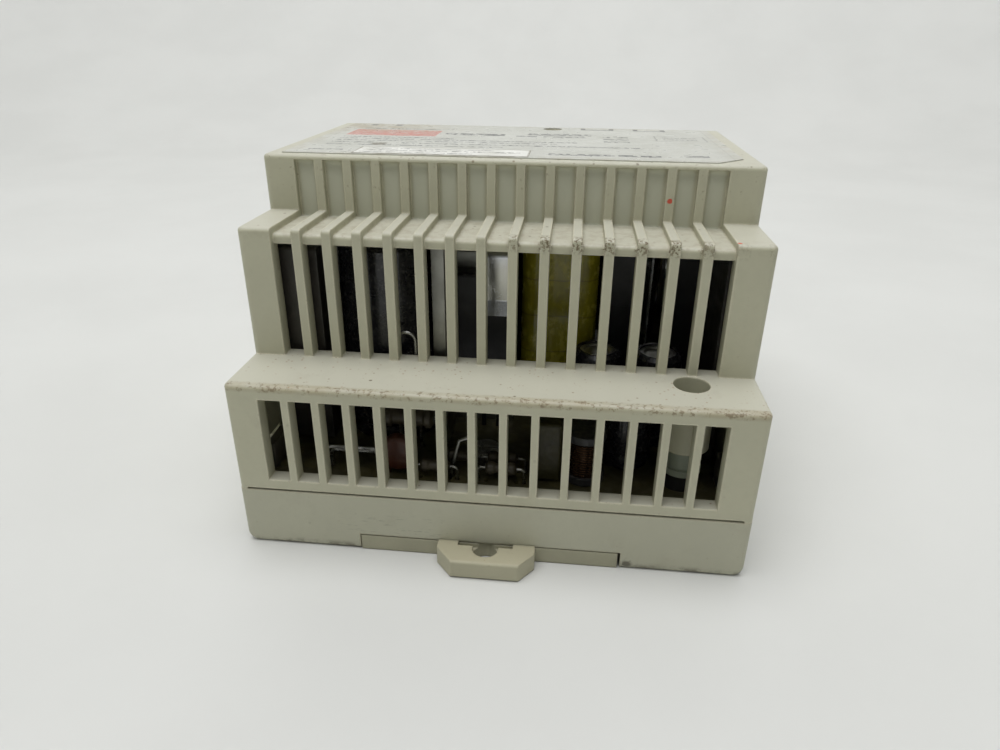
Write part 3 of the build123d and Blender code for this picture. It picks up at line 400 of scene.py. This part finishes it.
def board_laminate(name):
    """Circuit board: lacquered laminate with copper tracks under it and pads round the leads."""
    p = Paint(name)
    weave_x = p.math("SINE", p.math("MULTIPLY", p.x, 9.0))
    weave_y = p.math("SINE", p.math("MULTIPLY", p.y, 9.0))
    weave = p.math("MULTIPLY_ADD", p.math("MULTIPLY", weave_x, weave_y), 0.5, 0.5)
    track_size, _ = p.cells(5.5, shift=2.0, randomness=0.6)
    track = p.step(track_size, 0.30, 0.34)
    tone = p.blend(track, (0.085, 0.075, 0.03), (0.055, 0.05, 0.022))
    tone = p.blend(p.math("MULTIPLY", weave, 0.18), tone, (0.14, 0.12, 0.05))
    dust = p.math("MULTIPLY", p.step(p.noise(1.2, 6.0), 0.4, 0.8), 0.3)
    tone = p.blend(dust, tone, (0.20, 0.18, 0.13))
    height = p.math("ADD", p.math("MULTIPLY", track, -0.6), p.math("MULTIPLY", weave, 0.15))
    return p.finish(tone, p.step(p.noise(2.0, 3.0), 0.3, 0.7, 0.30, 0.48), p.bump(height, 0.03))


def winding_tape(name):
    """Yellow polyester tape wound round a coil: overlapping layers, wrinkles and trapped air."""
    p = Paint(name)
    along = p.math("ADD", p.z, p.math("MULTIPLY", p.noise(6.0, 2.0), 0.8))
    lap = p.math("FRACT", p.math("MULTIPLY", along, 1 / 6.5))
    lap_edge = p.math("SUBTRACT", 1.0, p.step(lap, 0.0, 0.06))
    air = p.step(p.noise(1.4, 3.0, stretch=(1.0, 1.0, 0.6)), 0.45, 0.7)
    tone = p.blend(air, (0.34, 0.30, 0.02), (0.50, 0.44, 0.035))
    tone = p.blend(p.math("MULTIPLY", lap_edge, 0.7), tone, (0.20, 0.16, 0.015))
    stain = p.step(p.noise(3.6, 5.0, shift=7), 0.5, 0.8, 0.0, 0.5)
    tone = p.blend(stain, tone, (0.16, 0.13, 0.03))
    wrinkle = p.noise(0.9, 4.0, stretch=(1.0, 1.0, 0.35))
    height = p.math("ADD", p.math("MULTIPLY", wrinkle, 0.6), p.math("MULTIPLY", lap, 0.5))
    return p.finish(tone, p.step(air, 0.0, 1.0, 0.18, 0.34), p.bump(height, 0.12), **{"Coat Weight": 0.3})


def can_sleeve(name):
    """Black shrunk sleeve, a little dusty, with fine lengthwise ridges and shrink wrinkles."""
    p = Paint(name)
    stripe = p.noise(0.9, 1.0, stretch=(1.0, 1.0, 0.02))
    cloud = p.step(p.noise(3.0, 3.0), 0.35, 0.75, 0.0, 0.5)
    tone = p.blend(cloud, (0.012, 0.012, 0.014), (0.03, 0.03, 0.034))
    dust = p.math("MULTIPLY", p.step(p.noise(0.6, 6.0), 0.5, 0.85), 0.25)
    tone = p.blend(dust, tone, (0.30, 0.28, 0.24))
    height = p.math("ADD", p.math("MULTIPLY", stripe, 0.5), p.noise(1.2, 3.0, stretch=(1.0, 1.0, 0.25)))
    return p.finish(tone, p.step(p.noise(1.6, 3.0, shift=5), 0.3, 0.7, 0.18, 0.32), p.bump(height, 0.05))


def print_rows(p, rows, shift=0.0, fine=2.6, fill=0.66):
    """Rows of broken grey marks that stand for print. Each row: y, height, x from, x to."""
    column = p.math("FLOOR", p.math("MULTIPLY", p.x, fine))
    line = p.math("FLOOR", p.math("MULTIPLY", p.y, fine * 0.8))
    joined = p.tree.nodes.new("ShaderNodeCombineXYZ")
    p.put(joined.inputs[0], column)
    p.put(joined.inputs[1], line)
    p.put(joined.inputs[2], shift)
    chance = p.tree.nodes.new("ShaderNodeTexWhiteNoise")
    p.put(chance.inputs["Vector"], joined.outputs[0])
    glyphs = p.math("LESS_THAN", chance.outputs["Value"], fill)
    ink = 0.0
    for y, height, x_from, x_to in rows:
        ink = p.math("MAXIMUM", ink, patch(p, (x_from, x_to), (y - height / 2, y + height / 2)))
    return p.math("MULTIPLY", ink, glyphs)


PRINT_RED = (0.52, 0.11, 0.075)
PRINT_BLACK = (0.07, 0.07, 0.075)
BOLD_BLACK = (0.07, 0.07, 0.07)


def label_print(p, tone):
    """Generic print: a red block, rows of marks, a frame line, terminal brackets and dots."""
    worn = p.step(p.noise(0.7, 5.0, 0.7, shift=23), 0.40, 0.62, 1.0, 0.45)
    red = p.math("MULTIPLY", patch(p, (-32.9, -15.9), (2.2, 10.7)), p.math("MULTIPLY", worn, 0.9))
    tone = p.blend(red, tone, PRINT_RED)
    stain = p.math("MULTIPLY", p.step(p.x, -30.0, -6.0, 1.0, 0.0), p.step(p.y, 2.0, 14.0))
    stain = p.math("MULTIPLY", stain, p.step(p.noise(3.5, 6.0, 0.7, shift=61), 0.30, 0.60))
    tone = p.blend(p.math("MULTIPLY", stain, 0.75), tone, (0.36, 0.31, 0.21))
    headings = (
        (6.2, 2.8, -14.6, -3.2), (8.4, 2.6, 1.0, 13.0), (5.2, 1.5, -1.0, 12.0), (6.4, 1.5, 15.2, 19.8),
        (3.2, 1.5, 15.2, 19.8), (0.0, 1.5, 15.2, 19.8), (-16.3, 1.8, 6.0, 23.8), (-15.1, 1.8, 27.5, 31.4),
    )
    heading_ink = print_rows(p, headings, 5.0, 1.7, 0.72)
    rows = (
        (12.6, 0.9, -32.0, -14.0), (7.4, 0.9, 26.2, 32.6), (5.0, 0.9, 26.2, 32.6),
        (-0.2, 0.9, -32.5, -12.0), (-2.5, 0.9, -32.5, 10.5), (-4.8, 0.9, -32.5, 7.0),
        (-7.3, 1.0, -32.5, -25.0), (-7.4, 1.1, -20.0, 21.8), (-10.2, 0.9, -32.5, -2.0),
        (-16.5, 0.9, -33.5, -27.5),
    )
    ink = p.math("MAXIMUM", print_rows(p, rows), heading_ink)
    bold = 0.0
    for x_from, x_to in ((11.5, 17.1), (21.9, 27.3)):
        bold = p.math("MAXIMUM", bold, patch(p, (x_from, x_to), (16.9, 17.6), 0.05))
        for x in (x_from, x_to):
            bold = p.math("MAXIMUM", bold, patch(p, (x - 0.45, x + 0.45), (16.9, 19.6), 0.1))
    for x in (-31.6, -26.4):
        bold = p.math("MAXIMUM", bold, patch(p, (x - 0.7, x + 0.7), (17.6, 19.4), 0.3))
    tone = p.blend(p.math("MULTIPLY", bold, 0.85), tone, BOLD_BLACK)
    outer = patch(p, (24.7, 34.0), (2.6, 9.8), 0.05)
    inner = patch(p, (25.0, 33.7), (2.9, 9.5), 0.05)
    ink = p.math("MAXIMUM", ink, p.math("MULTIPLY", p.math("SUBTRACT", outer, inner), 0.6))
    tone = p.blend(p.math("MULTIPLY", p.math("MULTIPLY", ink, worn), 0.95), tone, PRINT_BLACK)
    frame_outer = patch(p, (-35.0, 35.0), (-19.6, 19.9), 0.05)
    frame_inner = patch(p, (-34.8, 34.8), (-19.4, 19.7), 0.05)
    rim = p.math("MULTIPLY", p.math("SUBTRACT", frame_outer, frame_inner), worn)
    tone = p.blend(p.math("MULTIPLY", rim, 0.5), tone, (0.25, 0.25, 0.23))
    centre = p.vector("DISTANCE", p.place, (-23.6, -9.0, label_high.z / MM))
    splash = p.math("ADD", centre, p.math("MULTIPLY", p.noise(0.9, 4.0, 0.7), 3.0))
    tone = p.blend(p.step(splash, 2.3, 3.4, 0.9, 0.0), tone, (0.15, 0.13, 0.09))
    return tone


def label_film(name):
    """Pale printed film: faint gloss, cloudy handling marks, scuffs and specks of dirt."""
    p = Paint(name)
    tone = p.blend(p.step(p.noise(9.0, 5.0), 0.35, 0.7), (0.490, 0.495, 0.445), (0.555, 0.560, 0.515))
    tone = label_print(p, tone)
    edge_x = p.step(p.math("ABSOLUTE", p.x), 33.0, 36.2)
    edge_y = p.step(p.math("ABSOLUTE", p.y), 17.5, 20.4)
    rim = p.math("MULTIPLY", p.math("MAXIMUM", edge_x, edge_y), p.step(p.noise(3.0, 5.0, shift=4), 0.3, 0.7))
    tone = p.blend(p.math("MULTIPLY", rim, 0.55), tone, (0.42, 0.39, 0.30))
    smear = p.step(p.noise(5.0, 6.0, 0.7, stretch=(0.4, 1.0, 1.0), shift=11), 0.55, 0.8, 0.0, 0.4)
    tone = p.blend(smear, tone, (0.45, 0.44, 0.38))
    near, chance = p.cells(2.0, shift=6.0)
    speck = p.math("SUBTRACT", 1.0, p.step(near, 0.04, 0.10))
    speck = p.math("MULTIPLY", speck, p.math("GREATER_THAN", chance, 0.55))
    tone = p.blend(p.math("MULTIPLY", speck, 0.75), tone, (0.14, 0.11, 0.07))
    rough = p.step(p.noise(2.4, 5.0, shift=8), 0.3, 0.7, 0.26, 0.46)
    return p.finish(tone, rough, p.bump(p.noise(1.6, 3.0), 0.015))


def clear_sheet(name, colour, rough, weight):
    """Clear or cloudy plastic with fine scratches."""
    p = Paint(name)
    scratches = p.step(p.noise(0.5, 3.0, stretch=(1.0, 6.0, 1.0)), 0.55, 0.75)
    tone = p.blend(p.math("MULTIPLY", scratches, 0.3), colour, tuple(c * 0.8 for c in colour))
    gloss = p.math("ADD", rough, p.math("MULTIPLY", scratches, 0.12))
    return p.finish(tone, gloss, p.bump(scratches, 0.01), **{"Transmission Weight": weight, "IOR": 1.5})


def sticker_paper(name):
    """White paper sticker with rows of broken marks, a grubby edge and a torn look in places."""
    p = Paint(name)
    tone = p.blend(p.step(p.noise(4.0, 5.0), 0.35, 0.7), (0.66, 0.66, 0.61), (0.78, 0.78, 0.74))
    low, high = sticker_low / MM, sticker_high / MM
    rows = ((high.y - 1.6, 0.9, low.x + 1.0, high.x - 6.0), (high.y - 3.5, 1.2, low.x + 1.0, high.x - 1.5),
            (high.y - 5.6, 0.9, low.x + 1.0, high.x - 9.0))
    ink = p.math("MULTIPLY", print_rows(p, rows, 3.0), p.step(p.noise(0.7, 4.0), 0.35, 0.6, 1.0, 0.4))
    tone = p.blend(p.math("MULTIPLY", ink, 0.75), tone, (0.10, 0.10, 0.10))
    whole = patch(p, (low.x + 0.25, high.x - 0.25), (low.y + 0.25, high.y - 0.25), 0.12)
    edge = p.math("MULTIPLY", p.math("SUBTRACT", 1.0, whole), p.step(p.noise(1.5, 4.0), 0.3, 0.6, 0.3, 0.9))
    tone = p.blend(edge, tone, (0.20, 0.18, 0.13))
    smear = p.step(p.noise(3.0, 6.0, 0.7, shift=19), 0.54, 0.76, 0.0, 0.5)
    tone = p.blend(smear, tone, (0.42, 0.40, 0.32))
    return p.finish(tone, p.step(p.noise(2.0, 3.0), 0.3, 0.7, 0.45, 0.6), p.bump(p.noise(0.25, 4.0), 0.008))


CASE = (0.500, 0.490, 0.362)  # moulded wall
EDGE_WEAR_AND_HIGHLIGHT = (0.790, 0.750, 0.580)  # edges of the cover: partly wear, partly a painted highlight
PAINTED_TOP_TONE = (0.525, 0.515, 0.435)  # faces turned up: painted light from above
BASE_WALL = (0.475, 0.470, 0.360)
# Edge tones of base and latch: partly wear, partly painted highlight.
BASE_EDGE = (0.56, 0.52, 0.38)
LATCH_WALL = (0.450, 0.430, 0.305)
LATCH_EDGE = (0.56, 0.53, 0.38)
# The latch's tone for faces turned up: painted light, as the tab top is lit.
TAB_TOP = (0.430, 0.400, 0.285)
ROLLED = (1.0, 0.15, 8.0)  # stretch of the rolling lines on sheet metal
TURNED = (1.0, 8.0, 1.0)  # stretch of the lines on turned steel
finishes = {
    "cover_plastic": case_plastic("cover_plastic", CASE, EDGE_WEAR_AND_HIGHLIGHT, PAINTED_TOP_TONE, marks=cover_marks),
    "base_plastic": case_plastic("base_plastic", BASE_WALL, BASE_EDGE, PAINTED_TOP_TONE, 40, base_marks),
    "latch_plastic": case_plastic("latch_plastic", LATCH_WALL, LATCH_EDGE, TAB_TOP, 80, latch_plate_shade),
    "spring_wire": metal("spring_wire", (0.55, 0.55, 0.53), 0.25),
    "label_film": label_film("label_film"),
    "sticker_paper": sticker_paper("sticker_paper"),
    "board_laminate": board_laminate("board_laminate"),
    "terminal_plastic": plain_plastic("terminal_plastic", (0.03, 0.03, 0.032), 0.42),
    "tinned_brass": metal("tinned_brass", (0.70, 0.67, 0.60), 0.28),
    "plated_clamp": metal("plated_clamp", (0.62, 0.60, 0.52), 0.30),
    "zinc_steel": metal("zinc_steel", (0.66, 0.66, 0.62), 0.26, brushed=TURNED),
    "lamp_resin": clear_sheet("lamp_resin", (0.50, 0.56, 0.44), 0.34, 0.45),
    "black_plastic": plain_plastic("black_plastic", (0.018, 0.018, 0.018), 0.42),
    "black_epoxy": plain_plastic("black_epoxy", (0.014, 0.014, 0.016), 0.48, grain=0.02),
    "trimmer_plastic": plain_plastic("trimmer_plastic", (0.03, 0.10, 0.36), 0.28),
    "rotor_plastic": plain_plastic("rotor_plastic", (0.72, 0.72, 0.66), 0.35),
    "ferrite": plain_plastic("ferrite", (0.035, 0.035, 0.038), 0.36, grain=0.03),
    "yellow_tape": winding_tape("yellow_tape"),
    "bare_aluminium": metal("bare_aluminium", (0.32, 0.32, 0.29), 0.34, brushed=ROLLED, tarnish=0.35),
    "black_aluminium": plain_plastic("black_aluminium", (0.045, 0.042, 0.036), 0.38, grain=0.02),
    "spring_steel": metal("spring_steel", (0.60, 0.61, 0.63), 0.14, tarnish=0.1),
    "can_aluminium": metal("can_aluminium", (0.72, 0.72, 0.70), 0.32),
    "black_sleeve": can_sleeve("black_sleeve"),
    "brown_resin": plain_plastic("brown_resin", (0.040, 0.036, 0.030), 0.34),
    "yellow_resin": dipped_resin("yellow_resin", (0.040, 0.036, 0.009), 0.42),
    "orange_resin": dipped_resin("orange_resin", (0.075, 0.020, 0.009), 0.34),
    "beige_resin": dipped_resin("beige_resin", (0.072, 0.060, 0.038), 0.42),
    "tinned_wire": metal("tinned_wire", (0.36, 0.36, 0.34), 0.26),
    "enamelled_copper": wound_wire("enamelled_copper", (0.065, 0.034, 0.017), 0.42),
    "fuse_ceramic": plain_plastic("fuse_ceramic", (0.72, 0.69, 0.60), 0.25),
    "green_resin": dipped_resin("green_resin", (0.05, 0.10, 0.05)),
    "blue_resin": dipped_resin("blue_resin", (0.04, 0.10, 0.32)),
    "clear_film": clear_sheet("clear_film", (0.85, 0.88, 0.88), 0.08, 0.9),
}

slots = {entry["node"]: entry["material_slot"] for entry in frame["record"]["subparts"]}
for node_name, node in nodes.items():
    for holder in node.material_slots:
        holder.material = finishes[slots[node_name]]


# ------------------------------------------------------------------ pieces
def piece(name, mesh, slot_name, body=HOUSING):
    """A new piece that rides on a body and takes its finish from a material slot."""
    made = bpy.data.objects.new(name, mesh)
    bpy.context.scene.collection.objects.link(made)
    mesh.materials.append(finishes[slot_name])
    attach(made, body)
    return made


def coil_mesh(name, centre, axis, radius, wire, turns, length, sides=10, per_turn=28):
    """A round wire wound as a helix about an axis through its start point, as a closed tube."""
    axis = Vector(axis).normalized()
    across = axis.orthogonal().normalized()
    up = axis.cross(across)
    mesh = bmesh.new()
    rings = []
    steps = int(turns * per_turn)
    for i in range(steps + 1):
        turn = 2 * math.pi * i / per_turn
        outward = across * math.cos(turn) + up * math.sin(turn)
        round_way = (up * math.cos(turn) - across * math.sin(turn)) * radius
        along = (round_way + axis * (length / (2 * math.pi * turns))).normalized()
        side = along.cross(outward).normalized()
        middle = Vector(centre) + axis * (length * i / steps) + outward * radius
        ring = []
        for k in range(sides):
            a = 2 * math.pi * k / sides
            ring.append(mesh.verts.new(middle + wire * (outward * math.cos(a) + side * math.sin(a))))
        rings.append(ring)
    for first, second in zip(rings, rings[1:]):
        for k in range(sides):
            mesh.faces.new((first[k], first[(k + 1) % sides], second[(k + 1) % sides], second[k]))
    mesh.faces.new(list(reversed(rings[0])))
    mesh.faces.new(rings[-1])
    bmesh.ops.recalc_face_normals(mesh, faces=mesh.faces)
    made = bpy.data.meshes.new(name)
    mesh.to_mesh(made)
    mesh.free()
    made.shade_smooth()
    return made


spring_middle = (spring_low + spring_high) / 2
spring_wire_radius = 0.2 * MM
spring_turns = 6.0
spring_mesh = coil_mesh(
    "latch_spring_wire",
    (spring_middle.x, spring_low.y + spring_wire_radius, spring_middle.z),
    (0, 1, 0),
    (spring_high.x - spring_low.x) / 2 - spring_wire_radius,
    spring_wire_radius,
    spring_turns,
    spring_high.y - spring_low.y - 2 * spring_wire_radius,
)
spring = piece("latch_spring_wire", spring_mesh, "spring_wire")
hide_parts("latch_spring")
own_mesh(spring)


# ------------------------------------------------------------------ stage, light and camera
def build_stage():
    """A pale bowl: flat floor that curves up into a plain wall all round. Radii and heights in metres."""
    middle_y, flat_to, bend, wall_top = -0.55, 0.90, 0.30, 1.6
    curve_steps, sides = 24, 120
    profile = [(flat_to, 0.0)]
    for i in range(1, curve_steps + 1):
        turn = math.pi / 2 * i / curve_steps
        profile.append((flat_to + bend * math.sin(turn), bend - bend * math.cos(turn)))
    profile.append((flat_to + bend, wall_top))
    mesh = bmesh.new()
    rings = []
    for radius, z in profile:
        ring = []
        for k in range(sides):
            turn = 2 * math.pi * k / sides
            place = (radius * math.cos(turn), middle_y + radius * math.sin(turn), table_height + z)
            ring.append(mesh.verts.new(place))
        rings.append(ring)
    mesh.faces.new(rings[0])
    for first, second in zip(rings, rings[1:]):
        for k in range(sides):
            after = (k + 1) % sides
            mesh.faces.new((first[k], second[k], second[after], first[after]))
    made = bpy.data.meshes.new("floor")
    mesh.to_mesh(made)
    mesh.free()
    made.shade_smooth()
    floor = bpy.data.objects.new("floor", made)
    bpy.context.scene.collection.objects.link(floor)
    p = Paint("floor_paint")
    tone = p.blend(p.step(p.noise(60.0, 5.0), 0.3, 0.7), (0.655, 0.66, 0.64), (0.685, 0.69, 0.67))
    made.materials.append(p.finish(tone, 0.55, p.bump(p.noise(1.5, 3.0), 0.01)))


def area_light(name, place, target, size, power):
    lamp = bpy.data.lights.new(name, "AREA")
    lamp.shape = "DISK"
    lamp.size = size
    lamp.energy = power
    holder = bpy.data.objects.new(name, lamp)
    holder.location = place
    holder.rotation_euler = (Vector(target) - Vector(place)).to_track_quat("-Z", "Y").to_euler()
    bpy.context.scene.collection.objects.link(holder)


build_stage()
area_light("overhead", (-0.15, -0.22, 1.1), (0, 0, 0), 1.1, 9.2)
area_light("backdrop", (0.05, 0.1, 0.8), (0.05, 0.62, 0.1), 0.6, 2.1)

world = bpy.data.worlds.new("studio")
bpy.context.scene.world = world
world.use_nodes = True
world.node_tree.nodes["Background"].inputs["Color"].default_value = (0.93, 0.95, 1.0, 1.0)
world.node_tree.nodes["Background"].inputs["Strength"].default_value = 0.12

CAMERA_PLACE = Vector((10.45, -134.57, 69.46)) * MM
CAMERA_TURN = math.radians(5.74)  # to the left of +Y
CAMERA_DIP = math.radians(25.5)  # below the horizon
CAMERA_ROLL = math.radians(0.58)
camera_data = bpy.data.cameras.new("camera")
camera_data.sensor_width = 36.0
camera_data.lens = 25.68
camera_data.clip_start = 0.005
camera = bpy.data.objects.new("camera", camera_data)
camera.matrix_world = (
    Matrix.Translation(CAMERA_PLACE)
    @ Matrix.Rotation(CAMERA_TURN, 4, "Z")
    @ Matrix.Rotation(math.pi / 2 - CAMERA_DIP, 4, "X")
    @ Matrix.Rotation(CAMERA_ROLL, 4, "Z")
)
bpy.context.scene.collection.objects.link(camera)
bpy.context.scene.camera = camera
bpy.context.scene.view_settings.view_transform = "Standard"
